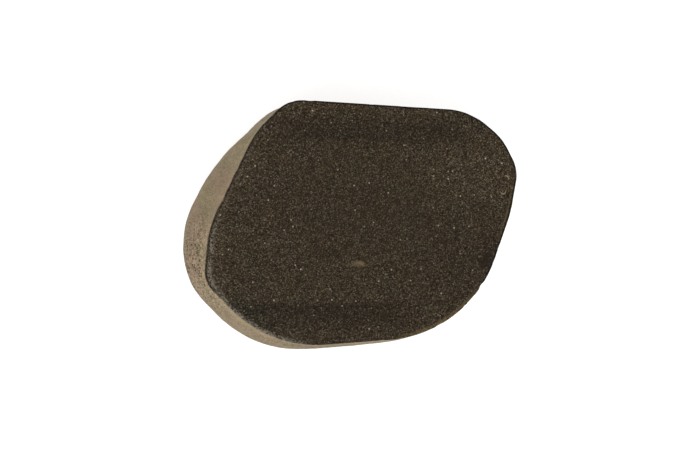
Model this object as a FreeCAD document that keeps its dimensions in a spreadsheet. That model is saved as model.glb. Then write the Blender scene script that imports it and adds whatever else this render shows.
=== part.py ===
import FreeCAD, Part
import math
import os
import Sketcher

# A basalt massage stone: a rounded beach pebble, sawn flat across its top.
#
# Axes, in millimetres: the origin is in the sawn face, +Z is the outward normal of
# that face, and +X runs along the long way of the stone. Depth is counted down from
# the sawn face to the underside that the stone rests on.
#
# The pebble is described the way a stone cutter would template it. Seen from above,
# its outline is ten nearly straight flats joined by round corners. A flat is given by
# the bearing it faces, in degrees counter-clockwise from +X, and by its reach, the
# distance from the origin. Below the sawn face the same flats first stand further
# out, as the stone swells to its belly, and then the outline shrinks to the foot.

FLATS = [
    "southeast", "east_southeast", "east", "northeast", "north",
    "north_northwest", "northwest", "west", "southwest", "south",
]
LEVELS = ["face", "shoulder", "belly", "flank", "heel", "foot"]

DIMENSIONS = {
    # bearing of each flat
    "southeast_bearing": -35,
    "east_southeast_bearing": -26,
    "east_bearing": 13,
    "northeast_bearing": 37,
    "north_bearing": 73,
    "north_northwest_bearing": 119,
    "northwest_bearing": 139,
    "west_bearing": 159,
    "southwest_bearing": 211,
    "south_bearing": 259,
    # reach of each flat in the sawn face
    "southeast_reach": 36.5,
    "east_southeast_reach": 38.5,
    "east_reach": 43.5,
    "northeast_reach": 40.5,
    "north_reach": 30,
    "north_northwest_reach": 35.5,
    "northwest_reach": 35,
    "west_reach": 39.5,
    "southwest_reach": 40,
    "south_reach": 30.5,
    # radius of the corner that follows each flat, going counter-clockwise
    "southeast_corner": 22,
    "east_southeast_corner": 8,
    "east_corner": 15,
    "northeast_corner": 18,
    "north_corner": 8,
    "north_northwest_corner": 24,
    "northwest_corner": 27,
    "west_corner": 7,
    "southwest_corner": 34,
    "south_corner": 32,
    # how far each flat stands out at the belly, beyond its reach in the sawn face
    "southeast_swell": 1.5,
    "east_southeast_swell": 2,
    "east_swell": 2,
    "northeast_swell": 1.5,
    "north_swell": 0.5,
    "north_northwest_swell": 0.5,
    "northwest_swell": 4.5,
    "west_swell": 4,
    "southwest_swell": 2,
    "south_swell": 1,
    # how much larger each corner radius is at the belly: less than 0 where it is smaller
    "southeast_gain": 2,
    "east_southeast_gain": 1,
    "east_gain": 2,
    "northeast_gain": 0,
    "north_gain": 12,
    "north_northwest_gain": 20,
    "northwest_gain": 0,
    "west_gain": 13,
    "southwest_gain": -4,
    "south_gain": 5,
    # depth of each level below the sawn face
    "face_depth": 0,
    "shoulder_depth": 4.5,
    "belly_depth": 10.5,
    "flank_depth": 17.5,
    "heel_depth": 24.5,
    "foot_depth": 29,
    # share of the swell and of the corner gain that each level has
    "face_share": 0,
    "shoulder_share": 0.75,
    "belly_share": 1,
    "flank_share": 1,
    "heel_share": 1,
    "foot_share": 1,
    # size of each level, as a share of what the swollen outline would be there
    "face_size": 1,
    "shoulder_size": 1,
    "belly_size": 1,
    "flank_size": 0.94,
    "heel_size": 0.75,
    "foot_size": 0.42,
    # the weathered skin
    "rind_thickness": 0.45,
    # roundings: the worn arris of the sawn face, and the soft edge of the foot
    "arris_radius": 0.35,
    "foot_blend": 8,
    # rolled margins of the sawn face: two shallow rounded bands, one along the north
    # edge and one along the south, each falling away from a soft crease
    "margin_bearing": 75,
    "north_crease": 20.4,
    "south_crease": 20.9,
    "margin_radius": 140,
    "margin_hub": 6,
    "cutter_width": 30,
    "cutter_height": 12,
    "cutter_length": 120,
}


def make_sheet(doc):
    """Write every driving dimension as a plain number under a word alias."""
    sheet = doc.addObject("Spreadsheet::Sheet", "Stone")
    for row, (name, value) in enumerate(DIMENSIONS.items(), start=1):
        sheet.set(f"A{row}", name)
        sheet.set(f"B{row}", str(value))
        sheet.setAlias(f"B{row}", name)
    doc.recompute()
    return sheet


def origin_plane(body, role):
    return next(item for item in body.Origin.OriginFeatures if item.Role == role)


def flat_reach(flat, level, inset):
    """Distance of one flat from the origin at one level."""
    value = DIMENSIONS
    swell = value[f"{flat}_swell"] * value[f"{level}_share"]
    return (value[f"{flat}_reach"] + swell) * value[f"{level}_size"] - inset


def corner_radius(flat, level, inset):
    """Radius of the corner after one flat at one level."""
    value = DIMENSIONS
    gain = value[f"{flat}_gain"] * value[f"{level}_share"]
    return (value[f"{flat}_corner"] + gain) * value[f"{level}_size"] - inset


def corner_centre(first, second, level, inset):
    """Centre of the arc that touches two neighbouring flats."""
    radius = corner_radius(first, level, inset)
    bearings = [math.radians(DIMENSIONS[f"{flat}_bearing"]) for flat in (first, second)]
    reaches = [flat_reach(flat, level, inset) - radius for flat in (first, second)]
    turn = math.sin(bearings[1] - bearings[0])
    x = (reaches[0] * math.sin(bearings[1]) - reaches[1] * math.sin(bearings[0])) / turn
    y = (reaches[1] * math.cos(bearings[0]) - reaches[0] * math.cos(bearings[1])) / turn
    return FreeCAD.Vector(x, y, 0)


def on_circle(centre, radius, bearing):
    angle = math.radians(bearing)
    return centre + FreeCAD.Vector(radius * math.cos(angle), radius * math.sin(angle), 0)


def outline_sketch(body, level, inset):
    """One horizontal section of the pebble: its flats, joined by tangent corners."""
    sketch = body.newObject("Sketcher::SketchObject", f"{body.Name}_{level}")
    sketch.AttachmentSupport = [(origin_plane(body, "XY_Plane"), "")]
    sketch.MapMode = "FlatFace"
    sunk = f" - Stone.{level}_depth"
    if level == "foot" and inset:
        sunk += " + Stone.rind_thickness"
    sketch.setExpression("AttachmentOffset.Base.z", sunk.strip())

    count = len(FLATS)
    corners = []
    for index, flat in enumerate(FLATS):
        following = FLATS[(index + 1) % count]
        centre = corner_centre(flat, following, level, inset)
        radius = corner_radius(flat, level, inset)
        start = DIMENSIONS[f"{flat}_bearing"]
        end = DIMENSIONS[f"{following}_bearing"]
        corners.append((centre, radius, start, end + 360 if end < start else end))

    for index, flat in enumerate(FLATS):
        before = corners[index - 1]
        after = corners[index]
        bearing = DIMENSIONS[f"{flat}_bearing"]
        side_start = on_circle(before[0], before[1], bearing)
        side_end = on_circle(after[0], after[1], bearing)
        sketch.addGeometry(Part.LineSegment(side_start, side_end), False)
        circle = Part.Circle(after[0], FreeCAD.Vector(0, 0, 1), after[1])
        arc = Part.ArcOfCircle(circle, math.radians(after[2]), math.radians(after[3]))
        sketch.addGeometry(arc, False)

    skin = " - Stone.rind_thickness" if inset else ""
    for index, flat in enumerate(FLATS):
        side = 2 * index
        corner = side + 1
        next_side = (side + 2) % (2 * count)
        sketch.addConstraint(Sketcher.Constraint("Tangent", side, 2, corner, 1))
        sketch.addConstraint(Sketcher.Constraint("Tangent", corner, 2, next_side, 1))

        heading = DIMENSIONS[f"{flat}_bearing"] + 90
        angle = sketch.addConstraint(
            Sketcher.Constraint("Angle", -1, side, math.radians(heading)))
        sketch.renameConstraint(angle, f"{flat}_heading")
        sketch.setExpression(f"Constraints.{flat}_heading", f"Stone.{flat}_bearing + 90")

        share = f"Stone.{level}_share"
        size = f"Stone.{level}_size"
        reach = sketch.addConstraint(
            Sketcher.Constraint("Distance", -1, 1, side, flat_reach(flat, level, inset)))
        sketch.renameConstraint(reach, f"{flat}_reach")
        sketch.setExpression(
            f"Constraints.{flat}_reach",
            f"(Stone.{flat}_reach + Stone.{flat}_swell * {share}) * {size}{skin}")

        radius = sketch.addConstraint(
            Sketcher.Constraint("Radius", corner, corner_radius(flat, level, inset)))
        sketch.renameConstraint(radius, f"{flat}_corner")
        sketch.setExpression(
            f"Constraints.{flat}_corner",
            f"(Stone.{flat}_corner + Stone.{flat}_gain * {share}) * {size}{skin}")
    return sketch


def pebble_loft(body, inset):
    """Loft the pebble through its levels, from the sawn face down to the foot."""
    sketches = [outline_sketch(body, level, inset) for level in LEVELS]
    loft = body.newObject("PartDesign::AdditiveLoft", f"{body.Name}_loft")
    loft.Profile = sketches[0]
    loft.Sections = sketches[1:]
    loft.Ruled = False
    body.Tip = loft
    return loft


def margin_profile(body, name, outward):
    """Section of one rolled margin's cutter: all that lies above the rounded band.

    It stands in the vertical plane square to the crease. Its lower edge is an arc
    that starts at the crease and falls away towards the rim. Outward is 1 for the
    north margin and -1 for the south one.
    """
    sketch = body.newObject("Sketcher::SketchObject", f"{body.Name}_{name}_profile")
    sketch.AttachmentSupport = [(origin_plane(body, "XZ_Plane"), "")]
    sketch.MapMode = "FlatFace"
    turned = FreeCAD.Rotation(FreeCAD.Vector(0, 1, 0), DIMENSIONS["margin_bearing"])
    sketch.AttachmentOffset = FreeCAD.Placement(FreeCAD.Vector(), turned)
    sketch.setExpression("AttachmentOffset.Rotation.Angle", "Stone.margin_bearing")

    value = DIMENSIONS
    crease = value[f"{name}_crease"]
    hub = crease - value["margin_hub"]
    far = crease + value["cutter_width"]
    height = value["cutter_height"]
    radius = value["margin_radius"]
    hub_depth = math.sqrt(radius ** 2 - value["margin_hub"] ** 2)
    far_height = math.sqrt(radius ** 2 - (far - hub) ** 2) - hub_depth

    centre = FreeCAD.Vector(outward * hub, -hub_depth, 0)
    ends = [
        math.atan2(far_height + hub_depth, outward * (far - hub)),
        math.atan2(hub_depth, outward * (crease - hub)),
    ]
    circle = Part.Circle(centre, FreeCAD.Vector(0, 0, 1), radius)
    band = sketch.addGeometry(Part.ArcOfCircle(circle, min(ends), max(ends)), False)
    far_end, crease_end = (1, 2) if outward > 0 else (2, 1)
    corners = [(far, far_height), (far, height), (crease, height), (crease, 0)]
    corners = [FreeCAD.Vector(outward * reach, up, 0) for reach, up in corners]
    outer, top, inner = [
        sketch.addGeometry(Part.LineSegment(start, end), False)
        for start, end in zip(corners, corners[1:])
    ]

    for constraint in [
        Sketcher.Constraint("Coincident", band, far_end, outer, 1),
        Sketcher.Constraint("Coincident", outer, 2, top, 1),
        Sketcher.Constraint("Coincident", top, 2, inner, 1),
        Sketcher.Constraint("Coincident", inner, 2, band, crease_end),
        Sketcher.Constraint("Vertical", outer),
        Sketcher.Constraint("Horizontal", top),
        Sketcher.Constraint("Vertical", inner),
        Sketcher.Constraint("PointOnObject", band, crease_end, -1),
    ]:
        sketch.addConstraint(constraint)

    sign = "" if outward > 0 else "-1 * "
    crease_name = f"Stone.{name}_crease"
    driven = [
        ("crease", "DistanceX", (band, crease_end), outward * crease, crease_name),
        ("hub", "DistanceX", (band, 3), outward * hub, f"({crease_name} - Stone.margin_hub)"),
        ("far", "DistanceX", (outer, 2), outward * far, f"({crease_name} + Stone.cutter_width)"),
        ("height", "DistanceY", (outer, 2), height, "Stone.cutter_height"),
    ]
    for label, kind, point, size, expression in driven:
        index = sketch.addConstraint(Sketcher.Constraint(kind, -1, 1, *point, size))
        sketch.renameConstraint(index, label)
        lead = sign if kind == "DistanceX" else ""
        sketch.setExpression(f"Constraints.{label}", lead + expression)
    index = sketch.addConstraint(Sketcher.Constraint("Radius", band, radius))
    sketch.renameConstraint(index, "band_radius")
    sketch.setExpression("Constraints.band_radius", "Stone.margin_radius")
    return sketch


def roll_margin(body, name, outward):
    """Cut one rolled margin off the sawn face."""
    cut = body.newObject("PartDesign::Pocket", f"{name}_margin")
    cut.Profile = margin_profile(body, name, outward)
    cut.SideType = "Symmetric"
    cut.setExpression("Length", "Stone.cutter_length")
    body.Tip = cut
    return cut


def rim_edges(shape):
    """Edges where the sawn face and its margins meet the side of the stone."""
    names = []
    for number, edge in enumerate(shape.Edges, start=1):
        near_the_top = edge.BoundBox.ZMin > -DIMENSIONS["shoulder_depth"]
        neighbours = shape.ancestorsOfType(edge, Part.Face)
        meets_the_side = any(
            face.BoundBox.ZMin < -DIMENSIONS["belly_depth"] for face in neighbours)
        if near_the_top and meets_the_side:
            names.append(f"Edge{number}")
    return names


def foot_edges(shape):
    """Edges round the flat foot."""
    return [
        f"Edge{number}"
        for number, edge in enumerate(shape.Edges, start=1)
        if edge.BoundBox.ZMax < -DIMENSIONS["heel_depth"]
    ]


def blend(body, name, edges, radius):
    """Round the chosen edges of the body as it stands."""
    base = body.Tip
    rounding = body.newObject("PartDesign::Fillet", name)
    rounding.Base = (base, edges)
    rounding.setExpression("Radius", radius)
    body.Tip = rounding
    return rounding


def make_pebble_blank(doc):
    """The whole stone as one body: loft, two rolled margins, worn arris, soft foot."""
    body = doc.addObject("PartDesign::Body", "pebble_blank")
    pebble_loft(body, 0)
    roll_margin(body, "north", 1)
    roll_margin(body, "south", -1)
    doc.recompute()
    blend(body, "worn_arris", rim_edges(body.Shape), "Stone.arris_radius")
    doc.recompute()
    blend(body, "soft_foot", foot_edges(body.Shape), "Stone.foot_blend")
    doc.recompute()
    return body


def make_core_former(doc):
    """The stone without its skin: the same loft, one skin thickness further in."""
    body = doc.addObject("PartDesign::Body", "core_former")
    pebble_loft(body, DIMENSIONS["rind_thickness"])
    doc.recompute()
    return body


def make_layer(doc, kind, name, blank, former):
    """One layer of the stone, as a boolean of the blank and the core's former."""
    layer = doc.addObject(kind, name)
    layer.Label = name
    layer.Base = blank
    layer.Tool = former
    return layer


def check(doc):
    for item in doc.Objects:
        if "Invalid" in item.State or "Error" in item.State:
            raise RuntimeError(f"{item.Name} did not build: {item.State}")
        if hasattr(item, "Shape") and item.TypeId != "Sketcher::SketchObject":
            if item.Shape.isNull() or not item.Shape.isValid():
                raise RuntimeError(f"{item.Name} has a bad shape")


def main():
    doc = FreeCAD.newDocument("massage_stone")
    make_sheet(doc)
    blank = make_pebble_blank(doc)
    former = make_core_former(doc)
    layers = [
        make_layer(doc, "Part::Common", "basalt_core", blank, former),
        make_layer(doc, "Part::Cut", "weathered_rind", blank, former),
    ]
    doc.recompute()
    check(doc)
    os.makedirs("parts", exist_ok=True)
    for layer in layers:
        layer.Shape.exportStep(f"parts/{layer.Label}.step")
        box = layer.Shape.BoundBox
        print(
            layer.Label, len(layer.Shape.Solids), "solid",
            f"{layer.Shape.Volume:.0f} mm3", f"z {box.ZMin:.2f} to {box.ZMax:.2f}")


main()
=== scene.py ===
import math

import bpy
import numpy as np
from mathutils import Matrix, Vector


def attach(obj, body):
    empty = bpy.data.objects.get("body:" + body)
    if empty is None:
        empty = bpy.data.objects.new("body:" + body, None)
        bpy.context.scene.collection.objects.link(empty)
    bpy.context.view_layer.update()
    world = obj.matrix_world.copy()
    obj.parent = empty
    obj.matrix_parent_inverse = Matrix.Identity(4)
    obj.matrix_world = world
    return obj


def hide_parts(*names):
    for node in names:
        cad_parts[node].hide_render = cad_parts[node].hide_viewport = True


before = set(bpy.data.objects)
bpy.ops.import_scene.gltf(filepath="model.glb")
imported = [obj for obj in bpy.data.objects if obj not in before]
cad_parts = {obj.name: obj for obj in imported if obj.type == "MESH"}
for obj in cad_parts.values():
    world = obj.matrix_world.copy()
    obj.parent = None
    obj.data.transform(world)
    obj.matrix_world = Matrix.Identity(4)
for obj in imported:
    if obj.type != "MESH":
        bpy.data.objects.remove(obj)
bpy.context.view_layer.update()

# A basalt massage stone on a pale floor. Shape sizes are in millimetres in the row's
# own frame: the origin is in the middle of the sawn face, +Z is that face's outward
# normal and +X runs along the long way of the stone. Meshes are written in metres.

MM = 0.001

# Each flat of the outline, counter-clockwise from the southeast: the bearing it faces
# in degrees, its reach in the sawn face, its swell at the belly, the radius of the
# corner after it, and that radius's gain at the belly, which is less than 0 where the
# corner gets tighter.
FLATS = [
    (-35, 36.5, 1.5, 22, 2),
    (-26, 38.5, 2, 8, 1),
    (13, 43.5, 2, 15, 2),
    (37, 40.5, 1.5, 18, 0),
    (73, 30, 0.5, 8, 12),
    (119, 35.5, 0.5, 24, 20),
    (139, 35, 4.5, 27, 0),
    (159, 39.5, 4, 7, 13),
    (211, 40, 2, 34, -4),
    (259, 30.5, 1, 32, 5),
]
# Depth of each level, its share of the swells and gains, and the scale of its outline.
LEVELS = [
    (0, 0, 1),
    (4.5, 0.75, 1),
    (10.5, 1, 1),
    (17.5, 1, 0.94),
    (24.5, 1, 0.75),
    (29, 1, 0.42),
]
SKIN = 0.45
BELLY_DEPTH = 10.5
FOOT_DEPTH = 29.0
# The stone's length over its length, width and depth, roughly. Relief on the sides
# points away from a body of these proportions.
BODY_PROPORTIONS = (1, 1.25, 2.2)

# Rolled margins of the sawn face, as in the CAD: arcs that fall away from a crease.
MARGIN_BEARING = math.radians(75)
CREASES = {1: 20.4, -1: 20.9}
MARGIN_RADIUS = 140.0
MARGIN_HUB = 6.0
CREASE_SOFTNESS = 0.8

# Wear: how far the arris and the foot's edge are rounded, and the heights above the
# foot between which the first kind of wear gives way to the second.
ARRIS_WEAR = 0.16
FOOT_WEAR = 2.6
ARRIS_WEAR_ENDS = 15
FOOT_WEAR_FULL = 5

# Layers of relief: height, wavelength, seed and number of octaves. The undulation
# fades out at the foot, and the sink keeps the sides within the stone's size.
FACE_RELIEF = [(0.05, 17, 11, 3), (0.012, 1.3, 15, 2)]
SIDE_UNDULATION = [(0.20, 21, 21, 3)]
SIDE_RELIEF = [(0.08, 5.5, 25, 3), (0.035, 1.4, 31, 2)]
SIDE_SINK = 0.12

# Mesh density: segments round the stone, the spacing of rings and rows, which is close
# in a band by the rim and grows beyond it, and the steps of the profiles behind them.
SEGMENTS = 680
FACE_RINGS = 92
RIM_SPACING = 0.16
RIM_BAND = 2.4
COARSE_SPACING = 0.62
SPACING_GROWTH = 1.03
NOMINAL_LENGTH = 52.0
LEVEL_STEPS = 24
TOP_STEPS = 30
PATH_STEP = 0.05
INNER_START = 3.0

# The hidden wall between the two layers keeps only some of the rows: a few near the
# rim, then one in nine. The core's side of it lies a small gap inside the skin's.
WALL_ROWS_NEAR_RIM = [6, 9, 13]
WALL_ROWS_START = 18
WALL_ROWS_STEP = 9
LAYER_GAP = 0.01

# Marks in the sawn face: a pale fleck, a dark spall by the rim, a chip in the arris,
# two pale curls by the east rim (centre, radius, way that each opens) and two clusters
# of bright crystals by the north rim. The fleck's widths are across and along the
# creases, first of its body and then of its fainter tail.
FLECK = (-4.1, -10.0)
FLECK_BODY = (0.75, 1.9)
FLECK_TAIL = (0.45, 3.2)
NICK = (29.6, -17.6)
NICK_BEARING = math.radians(52)
NICK_SIZE = (3.3, 1.4)
NICK_DEPTH = 0.25
RIM_CHIP = (27.0, -24.4)
RIM_CHIP_WIDTH = 0.75
RIM_CHIP_DEPTH = 0.5
CURLS = [((40.4, 1.3), 0.75, (-0.34, -0.19)), ((38.6, -1.9), 0.75, (0.09, 0.38))]
CLUSTERS = [(-18.3, 29.1), (-10.3, 30.6)]
PIT_DEPTH = 0.13

# Small chips all along the arris: how far in they reach, how far apart they lie, the
# noise value above which there is one, and how deep they get with rising noise.
SMALL_CHIP_REACH = 0.55
SMALL_CHIP_SPACING = 2.6
SMALL_CHIP_THRESHOLD = 0.42
SMALL_CHIP_DEPTH = 0.6

# Stretches of the rim with a colour of their own or with painted light: middle bearing,
# # half width, softness. The shaded side is painted shade on the rim and the side below it;
# # the grey arris and grey band are wear with a painted highlight where the arris is
# rounded.
TAN_RIM = (-66, 18, 10)
FAINT_TAN_RIM = (-12, 6, 6)
SHADED_SIDE = (36, 82, 10)
GREY_ARRIS = (210, 17, 8)
GREY_BAND = (180, 11, 8)
PALE_WEST = (163, 30, 8)
GREEN_SHADE = (203, 7, 7)
PIT_ROW = (180, 12, 8)
PITTED_SIDE = (181, 13, 11)
ROUGH_SIDE = (232, 24, 12)
CLEAN_SIDE = (182, 80, 8)


# ---------------------------------------------------------------- number helpers

NOISE_CELLS = 32


def lattice(seed):
    """Random values at the corners of a cube of noise cells, which repeats."""
    return np.random.default_rng(seed).uniform(-1, 1, (NOISE_CELLS,) * 3)


def soft_noise(points, wavelength, seed):
    """Smooth value noise between -1 and 1 at points given in millimetres."""
    table = lattice(seed)
    scaled = np.asarray(points) / wavelength
    cell = np.floor(scaled).astype(int)
    part = scaled - cell
    part = part * part * (3 - 2 * part)
    total = np.zeros(scaled.shape[:-1])
    for corner in np.ndindex(2, 2, 2):
        weight = np.ones(scaled.shape[:-1])
        for axis in range(3):
            along = part[..., axis]
            weight = weight * (along if corner[axis] else 1 - along)
        index = [(cell[..., axis] + corner[axis]) % NOISE_CELLS for axis in range(3)]
        total += weight * table[index[0], index[1], index[2]]
    return total


def layered_noise(points, wavelength, seed, octaves=3, gain=0.5):
    """Several octaves of soft noise, each half as wide and weaker than the last."""
    total = 0
    for octave in range(octaves):
        total = total + gain ** octave * soft_noise(
            points, wavelength / 2 ** octave, seed + octave)
    return total


def relief(points, layers):
    """Height of a surface made of several layers of noise."""
    return sum(
        height * layered_noise(points, wavelength, seed, octaves)
        for height, wavelength, seed, octaves in layers)


def ease(low, high, values):
    """Smooth step from 0 at low to 1 at high."""
    part = np.clip((values - low) / (high - low), 0, 1)
    return part * part * (3 - 2 * part)


def blurred(values, sigma):
    """Gaussian blur of an even row of values, holding its ends."""
    reach = max(1, int(round(3 * sigma)))
    offsets = np.arange(-reach, reach + 1)
    weights = np.exp(-0.5 * (offsets / sigma) ** 2)
    weights /= weights.sum()
    wide = np.pad(values, reach, mode="reflect", reflect_type="odd")
    return sum(weight * wide[k:k + len(values)] for k, weight in enumerate(weights))


# ---------------------------------------------------------------- the stone's shape

def outline(theta, share, size):
    """Distance from the axis to one level's outline, at each angle."""
    radius = np.full_like(theta, np.inf)
    for bearing, reach, swell, _, _ in FLATS:
        facing = np.maximum(np.cos(theta - math.radians(bearing)), 1e-3)
        radius = np.minimum(radius, (reach + swell * share) * size / facing)
    for first, second in zip(FLATS, FLATS[1:] + FLATS[:1]):
        corner = (first[3] + first[4] * share) * size
        normals = [
            np.array([math.cos(math.radians(flat[0])), math.sin(math.radians(flat[0]))])
            for flat in (first, second)
        ]
        reaches = [(flat[1] + flat[2] * share) * size - corner for flat in (first, second)]
        centre = np.linalg.solve(np.array(normals), np.array(reaches))
        along = centre[0] * np.cos(theta) + centre[1] * np.sin(theta)
        aside = centre[0] * np.sin(theta) - centre[1] * np.cos(theta)
        hit = along + np.sqrt(np.maximum(corner ** 2 - aside ** 2, 0))
        x = hit * np.cos(theta) - centre[0]
        y = hit * np.sin(theta) - centre[1]
        after_first = normals[0][0] * y - normals[0][1] * x >= 0
        before_second = normals[1][0] * y - normals[1][1] * x <= 0
        on_arc = after_first & before_second & (np.abs(aside) < corner)
        ahead = x * (normals[0] + normals[1])[0] + y * (normals[0] + normals[1])[1] > 0
        radius = np.where(on_arc & ahead, hit, radius)
    return radius


def margin_drop(across, side):
    """How far one rolled margin lies below the flat of the face."""
    beyond = across * side - CREASES[side]
    softened = CREASE_SOFTNESS * np.logaddexp(0, beyond / CREASE_SOFTNESS)
    hub_depth = math.sqrt(MARGIN_RADIUS ** 2 - MARGIN_HUB ** 2)
    reach = np.minimum(softened + MARGIN_HUB, 0.9 * MARGIN_RADIUS)
    return hub_depth - np.sqrt(MARGIN_RADIUS ** 2 - reach ** 2)


def face_height(x, y):
    """Height of the sawn face: flat, with a margin rolled over on each long side."""
    across = x * math.cos(MARGIN_BEARING) + y * math.sin(MARGIN_BEARING)
    return -margin_drop(across, 1) - margin_drop(across, -1)


def level_curves(theta, per_step):
    """Side profile at each angle: radius and height, splined through the levels."""
    radii = np.stack([outline(theta, share, size) for _, share, size in LEVELS])
    heights = np.array([-float(depth) for depth, _, _ in LEVELS])
    heights = np.repeat(heights[:, None], len(theta), axis=1)
    samples = []
    for values in (radii, heights):
        ends = [2 * values[0] - values[1], *values, 2 * values[-1] - values[-2]]
        rows = []
        for k in range(1, len(values)):
            before, start, end, after = ends[k - 1:k + 3]
            for t in np.arange(per_step) / per_step:
                rows.append(0.5 * (
                    2 * start
                    + (end - before) * t
                    + (2 * before - 5 * start + 4 * end - after) * t ** 2
                    + (3 * start - before - 3 * end + after) * t ** 3))
        rows.append(values[-1])
        samples.append(np.array(rows))
    return samples


def worn_path(angle, radius, height):
    """One angle's profile as an even path: in from the rim, over it, down to the foot.

    Returns the radii and heights at even steps. The path starts INNER_START inside
    the rim, on the sawn face, and its corners are worn round.
    """
    above = height - face_height(radius * math.cos(angle), radius * math.sin(angle))
    if above[0] > 0:
        first = int(np.argmax(above <= 0))
        share = above[first - 1] / (above[first - 1] - above[first])
        rim = radius[first - 1] + share * (radius[first] - radius[first - 1])
    else:
        first = 1
        rim = radius[0]
    top = np.linspace(rim - INNER_START, rim, TOP_STEPS)
    top_height = face_height(top * math.cos(angle), top * math.sin(angle))
    path_r = np.concatenate([top, radius[first:], [0]])
    path_z = np.concatenate([top_height, height[first:], [-FOOT_DEPTH]])
    steps = np.hypot(np.diff(path_r), np.diff(path_z))
    length = np.concatenate([[0], np.cumsum(steps)])
    even = np.arange(0, length[-1], PATH_STEP)
    even_r = np.interp(even, length, path_r)
    even_z = np.interp(even, length, path_z)
    low = ease(-FOOT_DEPTH + ARRIS_WEAR_ENDS, -FOOT_DEPTH + FOOT_WEAR_FULL, even_z)
    worn = []
    for values in (even_r, even_z):
        near = blurred(values, ARRIS_WEAR / PATH_STEP)
        wide = blurred(values, FOOT_WEAR / PATH_STEP)
        worn.append(near * (1 - low) + wide * low)
    return even, worn[0], worn[1]


def skin_rows():
    """Row places, as distances past the skin's inner edge at the rim, up to 1."""
    spacing = [RIM_SPACING] * int(RIM_BAND / RIM_SPACING)
    while sum(spacing) < NOMINAL_LENGTH:
        spacing.append(min(spacing[-1] * SPACING_GROWTH, COARSE_SPACING))
    return np.concatenate([[0], np.cumsum(spacing)]) / sum(spacing)


def skin_surface(theta):
    """The worn outer surface of the stone from the skin's inner edge to the foot.

    Returns its points, and the distance of each from the rim along the surface.
    """
    radii, heights = level_curves(theta, LEVEL_STEPS)
    rows = skin_rows()
    radius = np.zeros((len(theta), len(rows)))
    height = np.zeros_like(radius)
    edge = np.zeros_like(radius)
    start = INNER_START - SKIN
    for k, angle in enumerate(theta):
        even, path_r, path_z = worn_path(angle, radii[:, k], heights[:, k])
        places = start + rows * (even[-1] - start)
        radius[k] = np.interp(places, even, path_r)
        height[k] = np.interp(places, even, path_z)
        edge[k] = np.abs(places - INNER_START)
    radius[:, -1] = 0
    return to_points(theta, radius, height), edge


def to_points(theta, radius, height):
    """Points at each angle and row, from their radii and heights."""
    x = radius * np.cos(theta)[:, None]
    y = radius * np.sin(theta)[:, None]
    return np.stack([x, y, height], axis=-1)


def face_surface(theta, rim_points):
    """Rings of the core's sawn face, from its centre to the skin's inner edge.

    Returns their points, and the distance of each in from the rim.
    """
    rim = np.hypot(rim_points[:, 0], rim_points[:, 1])
    fine = np.arange(0, RIM_BAND, RIM_SPACING)
    coarse = np.linspace(0, 1, FACE_RINGS)[:-1]
    inner = coarse[None] * (rim[:, None] - RIM_BAND)
    outer = rim[:, None] - RIM_BAND + fine[None]
    radius = np.concatenate([inner, outer, rim[:, None]], axis=1)
    points = to_points(theta, radius, np.zeros_like(radius))
    points[..., 2] = face_height(points[..., 0], points[..., 1])
    points[:, -1] = rim_points
    edge = rim[:, None] + SKIN - radius
    return points, edge


# ---------------------------------------------------------------- wear and relief

def dent(points, centre, along, size, depth):
    """A shallow spall in the face: its depth at each point."""
    x = points[..., 0] - centre[0]
    y = points[..., 1] - centre[1]
    forward = (x * math.cos(along) + y * math.sin(along)) / size[0]
    aside = (-x * math.sin(along) + y * math.cos(along)) / size[1]
    ragged = 0.35 * layered_noise(points, 1.6, 90)
    return depth * ease(1.15, 0.55, np.hypot(forward, aside) + ragged)


def chip_depth(points, edge):
    """How deeply the arris is chipped at each point near the rim."""
    ragged = layered_noise(points * [1, 1, 0.3], SMALL_CHIP_SPACING, 40)
    small = np.clip(ragged - SMALL_CHIP_THRESHOLD, 0, 1) * SMALL_CHIP_DEPTH
    offset = np.hypot(points[..., 0] - RIM_CHIP[0], points[..., 1] - RIM_CHIP[1])
    large = RIM_CHIP_DEPTH * hump(offset, 0, RIM_CHIP_WIDTH) * ease(4.5, 1.5, edge)
    return hump(edge, 0, SMALL_CHIP_REACH) * small + large


def outward(points):
    """Unit direction away from the stone's middle at belly depth."""
    away = points - np.array([0, 0, -BELLY_DEPTH])
    away = away * BODY_PROPORTIONS
    return away / np.linalg.norm(away, axis=-1, keepdims=True)


def weather(points, edge):
    """Move surface points by the stone's undulation, pits, dents and chips."""
    depth = face_height(points[..., 0], points[..., 1]) - points[..., 2]
    side = ease(0.1, 2.2, depth)
    foot = ease(-FOOT_DEPTH + 0.6, -FOOT_DEPTH + 4, points[..., 2])
    face_relief = (
        relief(points, FACE_RELIEF)
        - dent(points, NICK, NICK_BEARING, NICK_SIZE, NICK_DEPTH)
    )
    side_relief = (
        relief(points, SIDE_UNDULATION) * foot
        + relief(points, SIDE_RELIEF)
        - pit_depth(points)
        - SIDE_SINK
    )
    moved = points.copy()
    moved[..., 2] += face_relief * (1 - side)
    moved += outward(points) * (side_relief * side)[..., None]
    chipped = chip_depth(points, edge)
    moved -= outward(points * [1, 1, 0]) * (0.75 * chipped)[..., None]
    moved[..., 2] -= 0.5 * chipped
    return moved


def pitted(points):
    """How pitted the natural skin is: most at the west end, and in patches elsewhere.

    The clean side has no patches above the belly, and the rough side is a little
    pitted all over.
    """
    wandering = points + 3.5 * soft_noise(points, 5, 87)[..., None]
    patches = ease(0, 0.5, layered_noise(points, 15, 83))
    below_belly = ease(-10, -15, points[..., 2])
    patches = patches * np.maximum(below_belly, 1 - sector(points, CLEAN_SIDE))
    patches = np.maximum(0.7 * patches, 0.42 * sector(wandering, ROUGH_SIDE))
    return 0.15 + 0.85 * np.maximum(sector(wandering, PITTED_SIDE), patches)


def pit_depth(points):
    """Small solution pits in the natural skin."""
    where = ease(-0.1, 0.5, soft_noise(points, 9, 61))
    pits = np.clip(soft_noise(points, 0.95, 63) - 0.5, 0, 0.5) * 2
    return PIT_DEPTH * pits * (0.35 + 0.65 * where) * pitted(points)


# ---------------------------------------------------------------- meshes

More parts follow.
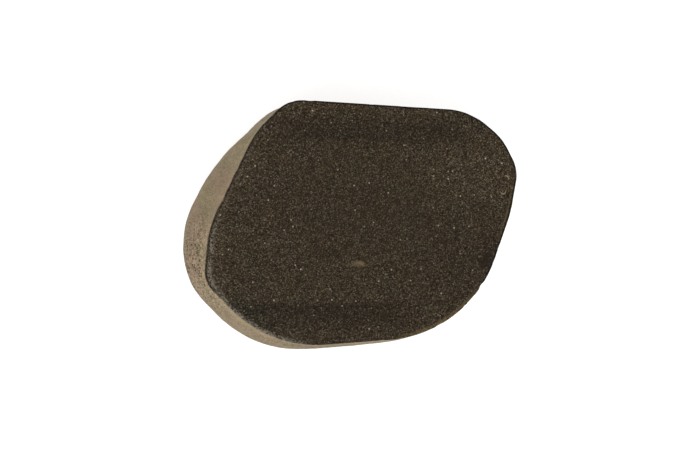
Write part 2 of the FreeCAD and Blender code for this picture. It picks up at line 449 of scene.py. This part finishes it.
def inward_copy(points, rows, distance):
    """Chosen rows of a surface, moved in along its own normals."""
    around = np.roll(points, -1, axis=0) - np.roll(points, 1, axis=0)
    down = np.gradient(points, axis=1)
    normals = np.cross(down, around)
    normals /= np.maximum(np.linalg.norm(normals, axis=-1, keepdims=True), 1e-9)
    moved = points - distance * normals
    moved[:, -1] = points[:, -1] + np.array([0, 0, distance])
    return moved[:, rows]


def lathe_mesh(name, grid, attributes, material):
    """A closed object from a grid of (angle, row) points whose end rows are poles."""
    count, rows = grid.shape[:2]
    ring = np.arange(count)
    following = np.roll(ring, -1)

    def flatten(values):
        middle = values[:, 1:-1]
        middle = middle.swapaxes(0, 1).reshape(-1, *values.shape[2:])
        ends = values[:, [0, -1]].mean(axis=0)
        return np.concatenate([ends[:1], middle, ends[1:]])

    points = flatten(grid)
    final = len(points) - 1
    faces = []
    first = 1 + ring
    faces += np.stack([np.zeros(count, int), first, 1 + following], axis=1).tolist()
    for row in range(rows - 3):
        here = 1 + row * count
        below = here + count
        faces += np.stack(
            [here + ring, below + ring, below + following, here + following],
            axis=1).tolist()
    last = 1 + (rows - 3) * count
    faces += np.stack(
        [last + ring, np.full(count, final), last + following], axis=1).tolist()

    mesh = bpy.data.meshes.new(name)
    mesh.from_pydata((points * MM).tolist(), [], faces)
    for label, values in attributes.items():
        layer = mesh.attributes.new(label, "FLOAT", "POINT")
        layer.data.foreach_set("value", flatten(values).astype(np.float32))
    mesh.shade_smooth()
    mesh.materials.append(material)
    obj = bpy.data.objects.new(name, mesh)
    bpy.context.scene.collection.objects.link(obj)
    return obj


def across_and_along(points):
    """Distances across the two creases and along them, from the face's middle."""
    x, y = points[..., 0], points[..., 1]
    cosine, sine = math.cos(MARGIN_BEARING), math.sin(MARGIN_BEARING)
    return x * cosine + y * sine, x * sine - y * cosine


def hump(values, centre, width):
    """1 at the centre, fading away over the given width on both sides."""
    return np.exp(-((values - centre) / width) ** 2)


def sector(points, stretch):
    """1 where a point's bearing lies in a stretch of the rim, fading out at its ends."""
    middle, half, softness = stretch
    bearing = np.degrees(np.arctan2(points[..., 1], points[..., 0]))
    away = np.abs((bearing - middle + 180) % 360 - 180)
    return ease(half + softness, half - softness, away)


def face_tone_and_painted_light(points, edge):
    """Broad light and dark of the face, 1 being its usual value, mostly painted light.

    Painted shade lies in a band past each crease, where the margins roll away, and in
    soft patches in the middle and towards the south-east; painted light lies towards the
    north rim, and a painted sheen towards the north-east. A lighter stretch by the west
    rim and a little random mottling are added too.
    """
    across, along = across_and_along(points)
    beyond_north = across - CREASES[1]
    beyond_south = -across - CREASES[-1]
    # Painted shade in a band past each crease, where the margin rolls away.
    north = ease(-0.8, 0.8, beyond_north) * ease(9, 2, beyond_north)
    south = ease(-0.8, 0.8, beyond_south) * ease(9, 2, beyond_south)
    tone_and_painted_light = 1.02 - 0.31 * north * ease(-26, -12, along) * ease(34, 22, along)
    tone_and_painted_light -= 0.37 * south * ease(-40, -30, along) * ease(20, 4, along)
    # Painted light towards the north rim, painted shade in soft patches and a painted sheen
    # towards the north-east; then a lighter stretch by the west rim and random mottling.
    tone_and_painted_light += 0.22 * ease(5, 9, beyond_north)
    tone_and_painted_light -= 0.05 * hump(across, 3, 5)
    tone_and_painted_light -= 0.07 * hump(across, -12, 8) * hump(along, 26, 10)
    tone_and_painted_light -= 0.07 * hump(across, -6, 9) * hump(along, 20, 12)
    tone_and_painted_light += 0.26 * hump(across, 13, 9) * hump(along, 31, 14)
    tone_and_painted_light += 0.22 * hump(edge, 0.9, 3.2) * sector(points, PALE_WEST)
    tone_and_painted_light += 0.04 * layered_noise(points * [1, 1, 0], 12, 71)
    return tone_and_painted_light


def speckle(points):
    """How strongly the crystals show: less in the middle, more near the south rim."""
    across, along = across_and_along(points)
    middle = hump(across, 4, 16) * hump(along, 4, 26)
    return 1.02 - 0.26 * middle + 0.04 * ease(12, 24, along)


def fleck_mask(points):
    """The pale fleck near the middle of the face, longer along the creases."""
    across, along = across_and_along(points - np.array([*FLECK, 0]))
    ragged = 0.35 * soft_noise(points, 0.9, 95)
    body = np.hypot(across / FLECK_BODY[0], along / FLECK_BODY[1]) + ragged
    tail = np.hypot((across + 0.4) / FLECK_TAIL[0], along / FLECK_TAIL[1]) + ragged
    return np.maximum(ease(1.1, 0.45, body), 0.5 * ease(1.2, 0.4, tail))


def make_stone():
    """The two layers of the stone: its dark core and its thin weathered skin."""
    theta = np.arange(SEGMENTS) * 2 * math.pi / SEGMENTS
    skin, skin_edge = skin_surface(theta)
    face, face_edge = face_surface(theta, skin[:, 0])
    worn_skin = weather(skin, skin_edge)
    worn_face = weather(face, face_edge)
    worn_skin[:, -1] = worn_skin[:, -1].mean(axis=0)

    rows = skin.shape[1]
    evenly = np.arange(WALL_ROWS_START, rows - 1, WALL_ROWS_STEP)
    hidden = np.unique(np.concatenate([WALL_ROWS_NEAR_RIM, evenly, [rows - 1]]))
    inside = inward_copy(worn_skin, hidden, SKIN)
    core_side = inward_copy(worn_skin, hidden, SKIN + LAYER_GAP)

    core_grid = np.concatenate([worn_face, core_side], axis=1)
    core_plain = np.concatenate([face, skin[:, hidden]], axis=1)
    core_edge = np.concatenate([face_edge, skin_edge[:, hidden]], axis=1)
    core = lathe_mesh("basalt_core_stone", core_grid, {
        "tone_and_painted_light": face_tone_and_painted_light(core_plain, core_edge),
        "fleck": fleck_mask(core_plain),
        "nick": dent(core_plain, NICK, NICK_BEARING, NICK_SIZE, 1.0),
        # Grey by the west rim and on the south-west arris: wear, with a painted highlight
        # where the arris is rounded.
        "grey": sector(core_plain, GREY_BAND) * hump(core_edge, 1.1, 0.65)
        + 1.3 * sector(core_plain, GREY_ARRIS) * hump(core_edge, 0.6, 0.22)
        + 0.4 * sector(core_plain, PALE_WEST) * hump(core_edge, 0.9, 0.5),
        "green": sector(core_plain, GREEN_SHADE) * hump(core_edge, 3.6, 2.4),
        "tan": 0.7 * sector(core_plain, FAINT_TAN_RIM) * hump(core_edge, 0.95, 0.2)
        + 0.7 * sector(core_plain, TAN_RIM) * hump(core_edge, 0.6, 0.35),
        "speckle": speckle(core_plain),
    }, basalt_material())

    skin_grid = np.concatenate([inside[:, ::-1], worn_skin], axis=1)
    skin_plain = np.concatenate([skin[:, hidden][:, ::-1], skin], axis=1)
    drop = face_height(skin_plain[..., 0], skin_plain[..., 1]) - skin_plain[..., 2]
    rind = lathe_mesh("weathered_rind_stone", skin_grid, {
        "pits": pit_depth(skin_plain) / PIT_DEPTH,
        "pitted": pitted(skin_plain),
        "drop": drop,
        "pit_row": sector(skin_plain, PIT_ROW) * hump(drop, 2.2, 0.45),
        "shaded_side": sector(skin_plain, SHADED_SIDE),
        "tan_rim": sector(skin_plain, TAN_RIM),
        "grey_rim": sector(skin_plain, GREY_ARRIS),
    }, skin_material())
    return core, rind


# ---------------------------------------------------------------- material helpers

def srgb(red, green, blue):
    """Linear colour with full alpha from 8-bit display values."""
    def linear(value):
        share = value / 255
        return share / 12.92 if share <= 0.04045 else ((share + 0.055) / 1.055) ** 2.4
    return (linear(red), linear(green), linear(blue), 1)


class Shader:
    """A small builder for one material's node tree."""

    def __init__(self, name):
        self.material = bpy.data.materials.new(name)
        self.material.use_nodes = True
        self.tree = self.material.node_tree
        self.tree.nodes.clear()
        coordinates = self.add("ShaderNodeTexCoord")
        scaled = self.add("ShaderNodeVectorMath", {"operation": "SCALE"})
        self.tree.links.new(coordinates.outputs["Object"], scaled.inputs[0])
        scaled.inputs["Scale"].default_value = 1 / MM
        self.place = scaled.outputs[0]

    def add(self, kind, settings=None, **inputs):
        """A new node with the given settings, its inputs set or linked by name."""
        made = self.tree.nodes.new(kind)
        for name, value in (settings or {}).items():
            setattr(made, name, value)
        for name, value in inputs.items():
            self.feed(made.inputs[name.replace("_", " ")], value)
        return made

    def feed(self, socket, value):
        """Link a socket to another one, or set its value."""
        if isinstance(value, bpy.types.NodeSocket):
            self.tree.links.new(value, socket)
        else:
            socket.default_value = value

    def math(self, operation, first, second=0.0, clamp=False):
        made = self.add("ShaderNodeMath", {"operation": operation, "use_clamp": clamp})
        self.feed(made.inputs[0], first)
        self.feed(made.inputs[1], second)
        return made.outputs[0]

    def ramp(self, value, low, high, start=0.0, end=1.0):
        """Smoothly remap a value from low..high to start..end."""
        made = self.add(
            "ShaderNodeMapRange", {"interpolation_type": "SMOOTHSTEP"},
            Value=value, From_Min=low, From_Max=high, To_Min=start, To_Max=end)
        return made.outputs[0]

    def shifted(self, *distances):
        """The place in millimetres, moved so that two textures don't coincide."""
        moved = self.add("ShaderNodeVectorMath", {"operation": "ADD"})
        self.feed(moved.inputs[0], self.place)
        moved.inputs[1].default_value = distances
        return moved.outputs[0]

    def cells(self, spacing, shift):
        """A cell for each crystal or speck, and the red and green of its random colour."""
        place = self.shifted(shift, 1.3 * shift, 0.4 * shift)
        made = self.add("ShaderNodeTexVoronoi", Vector=place, Scale=1 / spacing)
        split = self.add("ShaderNodeSeparateColor", Color=made.outputs["Color"])
        return made.outputs["Distance"], split.outputs["Red"], split.outputs["Green"]

    def noise(self, grain, detail=2.0, roughness=0.5, shift=0.0):
        """Fractal noise with grains of the given size in millimetres."""
        place = self.shifted(shift, 1.7 * shift, 0.6 * shift)
        made = self.add(
            "ShaderNodeTexNoise", Vector=place, Scale=1 / grain,
            Detail=detail, Roughness=roughness)
        return made.outputs["Fac"]

    def specks(self, spacing, radius, share, shift=0.0, core=0.45):
        """Round specks: spacing and radius in millimetres, share of cells that have one.

        Core is the share of the radius that has the speck's full strength.
        """
        distance, red, green = self.cells(spacing, shift)
        size = radius / spacing
        inside = self.ramp(distance, size, core * size)
        chosen = self.math("LESS_THAN", red, share)
        strength = self.ramp(green, 0, 1, 0.35, 1)
        return self.math("MULTIPLY", self.math("MULTIPLY", inside, chosen), strength)

    def grains(self, size, shift=0.0):
        """A random value for each crystal, with crystals of the given size."""
        _, red, _ = self.cells(size, shift)
        return red

    def distance(self, centre):
        """Distance in millimetres from a spot on the sawn face."""
        made = self.add("ShaderNodeVectorMath", {"operation": "DISTANCE"})
        self.feed(made.inputs[0], self.place)
        made.inputs[1].default_value = (*centre, 0)
        return made.outputs["Value"]

    def curl(self, centre, radius, opening):
        """A crescent on the sawn face: a disc less the same disc moved along its opening."""
        moved = (centre[0] + opening[0], centre[1] + opening[1])
        disc = self.ramp(self.distance(centre), radius + 0.06, radius - 0.06)
        bite = self.ramp(self.distance(moved), radius - 0.06, radius + 0.06)
        return self.math("MULTIPLY", disc, bite)

    def attribute(self, name):
        return self.add("ShaderNodeAttribute", {"attribute_name": name}).outputs["Fac"]

    def mix(self, share, first, second, blend="MIX"):
        made = self.add("ShaderNodeMix", {"data_type": "RGBA", "blend_type": blend})
        self.feed(made.inputs["Factor"], share)
        self.feed(made.inputs[6], first)
        self.feed(made.inputs[7], second)
        return made.outputs[2]

    def lay(self, base, mask, share, colour):
        """A colour laid over the base where a mask says, up to the given share."""
        return self.mix(self.math("MULTIPLY", mask, share), base, colour)

    def brighten(self, colour, amount):
        """Multiply a colour by a grey amount."""
        grey = self.add("ShaderNodeCombineColor", Red=amount, Green=amount, Blue=amount)
        return self.mix(1.0, colour, grey.outputs[0], "MULTIPLY")

    def bump(self, height, distance, strength):
        """A normal that follows small heights, over a distance in millimetres."""
        made = self.add(
            "ShaderNodeBump", Height=height, Distance=distance * MM, Strength=strength)
        return made.outputs[0]

    def finish(self, **inputs):
        surface = self.add("ShaderNodeBsdfPrincipled", **inputs)
        output = self.add("ShaderNodeOutputMaterial")
        self.tree.links.new(surface.outputs[0], output.inputs["Surface"])
        return self.material


# ---------------------------------------------------------------- materials

# Dark grains are a little warmer than pale ones.
DARK_GRAIN_TINT = (1.0, 0.92, 0.82, 1)
PALE_GRAIN_TINT = (0.99, 1.0, 1.05, 1)


def basalt_material():
    """Sawn basalt: dark brown-grey, densely flecked with fine pale crystals."""
    shader = Shader("fresh_basalt")
    warm = srgb(50, 40, 25)
    cool = srgb(48, 40, 27)
    greenish = srgb(38, 41, 27)
    pale_crystal = srgb(138, 127, 108)
    fine_speck = srgb(124, 114, 98)
    large_speck = srgb(164, 153, 132)
    scuff_and_highlight = srgb(112, 105, 92)
    tan = srgb(104, 88, 58)
    fleck = srgb(101, 87, 65)
    pale_curl = srgb(134, 122, 100)
    spall = srgb(33, 23, 14)

    base = shader.mix(shader.ramp(shader.noise(9, 3), 0.35, 0.65), warm, cool)
    base = shader.lay(base, shader.attribute("green"), 0.4, greenish)
    patches = shader.ramp(shader.noise(4.5, 3, 0.6, 20), 0.3, 0.7, 0.97, 1.03)
    crystal = shader.grains(0.23)
    uneven = shader.ramp(shader.noise(3.4, 2, 0.5, 63), 0.32, 0.68, 0.92, 1.08)
    contrast = shader.math("MULTIPLY", shader.attribute("speckle"), uneven)
    shade = shader.math("SUBTRACT", shader.ramp(crystal, 0, 1, 0, 1.4), 0.7)
    shade = shader.math("ADD", 0.93, shader.math("MULTIPLY", shade, contrast))
    base = shader.brighten(base, shader.math("MULTIPLY", shade, patches))
    tint = shader.mix(crystal, DARK_GRAIN_TINT, PALE_GRAIN_TINT)
    base = shader.mix(1.0, base, tint, "MULTIPLY")

    density = contrast
    for spot in CLUSTERS:
        nearness = shader.ramp(shader.distance(spot), 2.4, 0.6, 0, 0.9)
        density = shader.math("ADD", density, nearness)
    glint = shader.math("MULTIPLY", shader.math("POWER", crystal, 10), 0.42)
    base = shader.lay(base, glint, density, pale_crystal)
    fine = shader.specks(0.8, 0.22, 0.5)
    base = shader.lay(base, shader.math("MULTIPLY", fine, density), 0.42, fine_speck)
    large = shader.specks(1.9, 0.28, 0.5, 57)
    base = shader.lay(base, large, 0.85, large_speck)
    # Painted sheen and shade over the face, with a little random mottling.
    base = shader.brighten(base, shader.attribute("tone_and_painted_light"))

    # Grey scuffs by the west rim and on the south-west arris: wear, with a painted highlight
    # where the arris is rounded, broken up by crystals.
    broken = shader.ramp(shader.grains(0.34, 19), 0.3, 0.85, 0.04, 1.0)
    scuffed_and_highlit = shader.math("MULTIPLY", shader.attribute("grey"), broken, clamp=True)
    base = shader.mix(scuffed_and_highlit, base, scuff_and_highlight)
    base = shader.lay(base, shader.attribute("tan"), 0.8, tan)
    smear = shader.brighten(fleck, shader.ramp(crystal, 0, 1, 0.62, 1.4))
    base = shader.lay(base, shader.attribute("fleck"), 0.85, smear)
    for curl in CURLS:
        base = shader.lay(base, shader.curl(*curl), 0.75, pale_curl)
    base = shader.lay(base, shader.attribute("nick"), 0.8, spall)
    height = shader.math("ADD", shader.noise(0.5, 3, 0.65, 9),
                         shader.math("MULTIPLY", fine, 0.4))
    normal = shader.bump(height, 0.04, 0.5)
    roughness = shader.ramp(shader.noise(1.1, 3, 0.6, 5), 0.3, 0.7, 0.55, 0.7)
    return shader.finish(
        Base_Color=base, Roughness=roughness, Normal=normal, Specular_IOR_Level=0.12)


def skin_material():
    """Weathered natural skin: matt tan with faint pink and olive patches and pits."""
    shader = Shader("weathered_basalt")
    tan = srgb(136, 123, 99)
    pink = srgb(140, 122, 101)
    olive = srgb(131, 120, 91)
    dark_pit = srgb(52, 43, 29)
    shallow_pit = srgb(58, 49, 37)
    plain_rim = srgb(50, 43, 34)
    shaded_rim = srgb(27, 23, 17)
    grey_rim = srgb(95, 90, 80)
    tan_rim = srgb(84, 73, 50)

    base = shader.mix(shader.ramp(shader.noise(7, 3, 0.5, 3), 0.4, 0.65), tan, pink)
    base = shader.mix(shader.ramp(shader.noise(8, 3, 0.5, 27), 0.5, 0.72), base, olive)
    stain = shader.ramp(shader.noise(17, 4, 0.6, 41), 0.3, 0.7, 0.9, 1.06)
    rough = shader.attribute("pitted")
    crystal = shader.grains(0.32, 11)
    grain = shader.math("SUBTRACT", crystal, 0.5)
    grain = shader.math("MULTIPLY", grain, shader.ramp(rough, 0, 1, 0.3, 0.85))
    grain = shader.math("ADD", grain, 0.98)
    patches = shader.ramp(shader.noise(3.2, 3, 0.6, 13), 0.3, 0.7, 0.92, 1.08)
    base = shader.brighten(base, shader.math("MULTIPLY", grain, patches))
    base = shader.brighten(base, stain)
    tint = shader.mix(crystal, DARK_GRAIN_TINT, PALE_GRAIN_TINT)
    base = shader.mix(shader.ramp(rough, 0, 1, 0.2, 0.8), base, tint, "MULTIPLY")
    depth = shader.attribute("drop")
    base = shader.brighten(base, shader.ramp(depth, 0.4, 3.0, 1.09, 0.97))
    # Painted shade: the skin darkens below the belly, where it turns under, with a ragged
    # edge.
    painted_shade_wobble = shader.ramp(shader.noise(6, 3, 0.5, 51), 0.3, 0.7, -1.2, 1.2)
    painted_shade_depth = shader.math("ADD", depth, painted_shade_wobble)
    base = shader.brighten(base, shader.ramp(painted_shade_depth, 8, 11.5, 1, 0.76))

    below = shader.math("MULTIPLY", shader.ramp(depth, 1.1, 1.7), rough)
    small = shader.math("MULTIPLY", shader.specks(0.8, 0.34, 0.7, 12, 0.8), below)
    row = shader.math("MULTIPLY", shader.specks(0.62, 0.3, 0.92, 34, 0.8),
                      shader.attribute("pit_row"))
    small = shader.math("MAXIMUM", small, row)
    base = shader.lay(base, small, 0.95, dark_pit)
    base = shader.lay(base, shader.attribute("pits"), 0.75, shallow_pit)

    shaded_side = shader.attribute("shaded_side")
    # The rind's ring at the rim is dark basalt, with painted shade along the shaded north
    # and east side.
    rim = shader.mix(shaded_side, plain_rim, shaded_rim)
    # Grey on the south-west arris of the rind's ring: wear with a painted highlight where it
    # is rounded.
    rim = shader.mix(shader.attribute("grey_rim"), rim, grey_rim)
    rim = shader.mix(shader.attribute("tan_rim"), rim, tan_rim)
    rim = shader.brighten(rim, shader.ramp(shader.grains(0.34, 23), 0, 1, 0.3, 1.8))
    # On the shaded side the painted shade reaches further down the side, in ragged patches.
    reach = shader.ramp(shader.noise(3.4, 3, 0.6, 71), 0.3, 0.7, 1, 5)
    reach = shader.math("ADD", 1, shader.math("MULTIPLY", shaded_side, reach))
    scaled = shader.math("DIVIDE", depth, reach)
    base = shader.mix(shader.ramp(scaled, 0.3, 0.05), base, rim)
    height = shader.math("SUBTRACT", shader.noise(0.7, 4, 0.65, 9),
                         shader.math("MULTIPLY", small, 0.8))
    normal = shader.bump(height, 0.09, 0.8)
    roughness = shader.ramp(shader.noise(1.4, 3, 0.6, 5), 0.3, 0.7, 0.74, 0.9)
    return shader.finish(
        Base_Color=base, Roughness=roughness, Normal=normal, Specular_IOR_Level=0.12)


def floor_material():
    """Pale, very slightly mottled tabletop."""
    shader = Shader("pale_floor")
    base = shader.mix(shader.ramp(shader.noise(60, 3), 0.3, 0.7),
                      (0.82, 0.82, 0.82, 1), (0.85, 0.85, 0.85, 1))
    return shader.finish(
        Base_Color=base, Roughness=0.9, Specular_IOR_Level=0.1,
        Emission_Color=(1, 1, 1, 1), Emission_Strength=0.5)


# ---------------------------------------------------------------- floor, light, camera

# The camera: its tilt from straight above and the bearing of that tilt, the bearing
# that is up in its picture, its lens, and its distance from the spot that it aims at.
CAMERA_TILT = math.radians(16)
CAMERA_SIDE = math.radians(175)
CAMERA_UP = math.radians(75)
CAMERA_LENS = 120
CAMERA_DISTANCE = 593
CAMERA_AIM = (-3.6, -0.1, 0)
# Strength of the surround as a light, and as the camera sees it.
WORLD_LIGHT = 0.6
WORLD_SEEN = 1.1
# Soft boxes: name, place in metres, width in metres and power in watts.
SOFT_BOXES = [
    ("key", (-0.5, -0.45, 0.8), 0.9, 6),
    ("fill", (0.3, 0.6, 0.9), 0.9, 2),
]
FLOOR_REACH = 1.5


def make_floor():
    """A square floor at the foot's depth; its reach is in metres."""
    level = -FOOT_DEPTH * MM
    corners = [
        (x * FLOOR_REACH, y * FLOOR_REACH, level)
        for x, y in ((-1, -1), (1, -1), (1, 1), (-1, 1))
    ]
    mesh = bpy.data.meshes.new("floor")
    mesh.from_pydata(corners, [], [(0, 1, 2, 3)])
    mesh.materials.append(floor_material())
    floor = bpy.data.objects.new("floor", mesh)
    bpy.context.scene.collection.objects.link(floor)
    return floor


def make_camera():
    """Above the sawn face, leaning over its west end so that the skin shows there."""
    back = Vector((
        math.sin(CAMERA_TILT) * math.cos(CAMERA_SIDE),
        math.sin(CAMERA_TILT) * math.sin(CAMERA_SIDE),
        math.cos(CAMERA_TILT)))
    upright = Vector((math.cos(CAMERA_UP), math.sin(CAMERA_UP), 0))
    right = upright.cross(back).normalized()
    up = back.cross(right)
    data = bpy.data.cameras.new("camera")
    data.lens = CAMERA_LENS
    data.clip_start = 0.01
    camera = bpy.data.objects.new("camera", data)
    turn = Matrix((right, up, back)).transposed()
    place = (Vector(CAMERA_AIM) + back * CAMERA_DISTANCE) * MM
    camera.matrix_world = Matrix.Translation(place) @ turn.to_4x4()
    bpy.context.scene.collection.objects.link(camera)
    bpy.context.scene.camera = camera


def soft_light(name, place, size, power):
    """A square soft box at a place in metres, aimed at the stone."""
    data = bpy.data.lights.new(name, "AREA")
    data.shape = "SQUARE"
    data.size = size
    data.energy = power
    light = bpy.data.objects.new(name, data)
    light.location = place
    light.rotation_euler = (-Vector(place)).to_track_quat("-Z", "Y").to_euler()
    bpy.context.scene.collection.objects.link(light)


def make_light():
    """Two soft boxes and a pale surround, which is brighter where the camera sees it."""
    world = bpy.data.worlds.new("studio")
    world.use_nodes = True
    nodes = world.node_tree.nodes
    background = nodes["Background"]
    background.inputs["Color"].default_value = (1, 1, 1, 1)
    seen = nodes.new("ShaderNodeLightPath")
    strength = nodes.new("ShaderNodeMapRange")
    strength.inputs["To Min"].default_value = WORLD_LIGHT
    strength.inputs["To Max"].default_value = WORLD_SEEN
    links = world.node_tree.links
    links.new(seen.outputs["Is Camera Ray"], strength.inputs["Value"])
    links.new(strength.outputs[0], background.inputs["Strength"])
    bpy.context.scene.world = world
    for box in SOFT_BOXES:
        soft_light(*box)


scene = bpy.context.scene
scene.view_settings.view_transform = "Standard"
core, rind = make_stone()
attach(core, "root")
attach(rind, "root")
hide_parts("basalt_core")
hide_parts("weathered_rind")
make_floor()
make_light()
make_camera()
